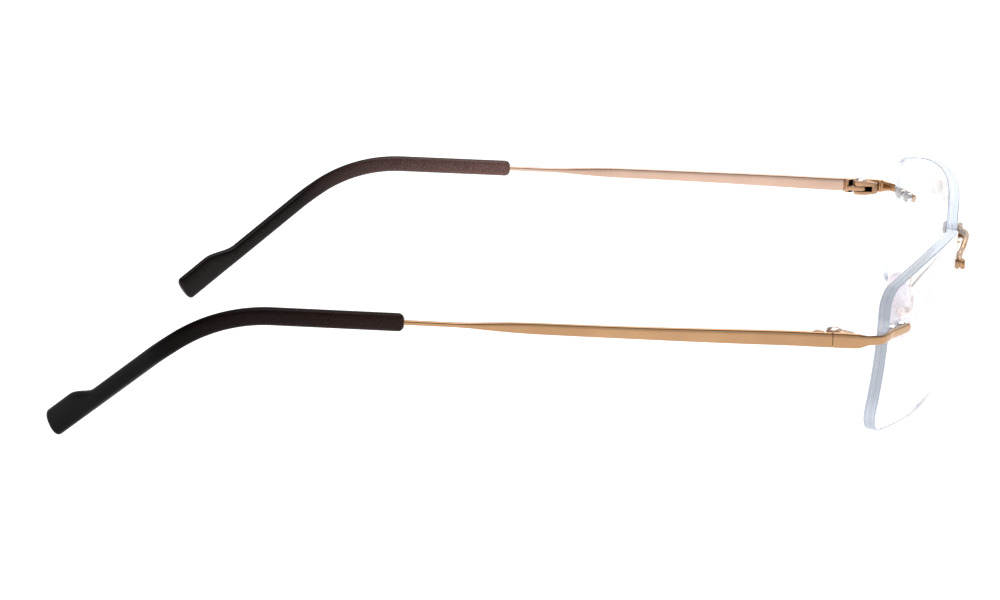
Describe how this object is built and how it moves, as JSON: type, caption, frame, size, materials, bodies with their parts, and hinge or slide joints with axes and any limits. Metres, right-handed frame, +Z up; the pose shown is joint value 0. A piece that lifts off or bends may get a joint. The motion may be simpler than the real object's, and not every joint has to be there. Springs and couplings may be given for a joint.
{
  "type": "rimless eyeglasses",
  "caption": "Rimless eyeglasses with clear rectangular lenses, a thin metal bridge, rocking nose pads and folding metal temples with sleeved ear tips.",
  "frame": {"origin": "middle of the whole object in X and Y, on the table that the lens edges and ear tips stand on", "axes": "+X towards the wearer's left, -Y the way the wearer looks, +Z up"},
  "size_m": [0.1482, 0.1566, 0.0284],
  "materials": {
    "clear_lens": "clear polished resin, transparent",
    "rose_gold_metal": "satin rose gold plating",
    "hinge_metal": "satin rose gold plating, a little darker",
    "screw_metal": "turned and plated",
    "clear_bushing": "clear moulded plastic",
    "brown_sleeve": "satin brown with a fine pearl speckle",
    "pad_insert": "stiff clear plastic",
    "soft_pad": "clear soft silicone"
  },
  "bodies": {
    "front": {"lens_left": "clear_lens", "lens_right": "clear_lens", "bridge": "rose_gold_metal", "bridge_bushings_left": "clear_bushing", "bridge_bushings_right": "clear_bushing", "endpiece_left": "rose_gold_metal", "endpiece_right": "rose_gold_metal", "endpiece_bushings_left": "clear_bushing", "endpiece_bushings_right": "clear_bushing", "front_hinge_left": "hinge_metal", "front_hinge_right": "hinge_metal", "hinge_screw_left": "screw_metal", "hinge_screw_right": "screw_metal", "pad_arm_left": "rose_gold_metal", "pad_arm_right": "rose_gold_metal", "pad_box_left": "rose_gold_metal", "pad_box_right": "rose_gold_metal", "pad_screw_left": "screw_metal", "pad_screw_right": "screw_metal"},
    "left_temple": {"temple_hinge_left": "hinge_metal", "temple_left": "rose_gold_metal", "tip_sleeve_left": "brown_sleeve"},
    "right_temple": {"temple_hinge_right": "hinge_metal", "temple_right": "rose_gold_metal", "tip_sleeve_right": "brown_sleeve"},
    "left_pad": {"pad_core_left": "pad_insert", "nose_pad_left": "soft_pad"},
    "right_pad": {"pad_core_right": "pad_insert", "nose_pad_right": "soft_pad"}
  },
  "joints": [
    {"name": "temple_fold_left", "type": "hinge", "parent": "front", "child": "left_temple", "pos_m": [0.06895, -0.05641, 0.01875], "axis": [0, -0.0523, 0.9986], "range_deg": [0, 88]},
    {"name": "temple_fold_right", "type": "hinge", "parent": "front", "child": "right_temple", "pos_m": [-0.06895, -0.05641, 0.01875], "axis": [0, 0.0523, -0.9986], "range_deg": [0, 82]},
    {"name": "pad_rock_left", "type": "hinge", "parent": "front", "child": "left_pad", "pos_m": [0.0094, -0.06701, 0.01], "axis": [0.6147, 0.766, 0.1879], "range_deg": [-10, 10]},
    {"name": "pad_rock_right", "type": "hinge", "parent": "front", "child": "right_pad", "pos_m": [-0.0094, -0.06701, 0.01], "axis": [-0.6147, 0.766, 0.1879], "range_deg": [-10, 10]}
  ]
}
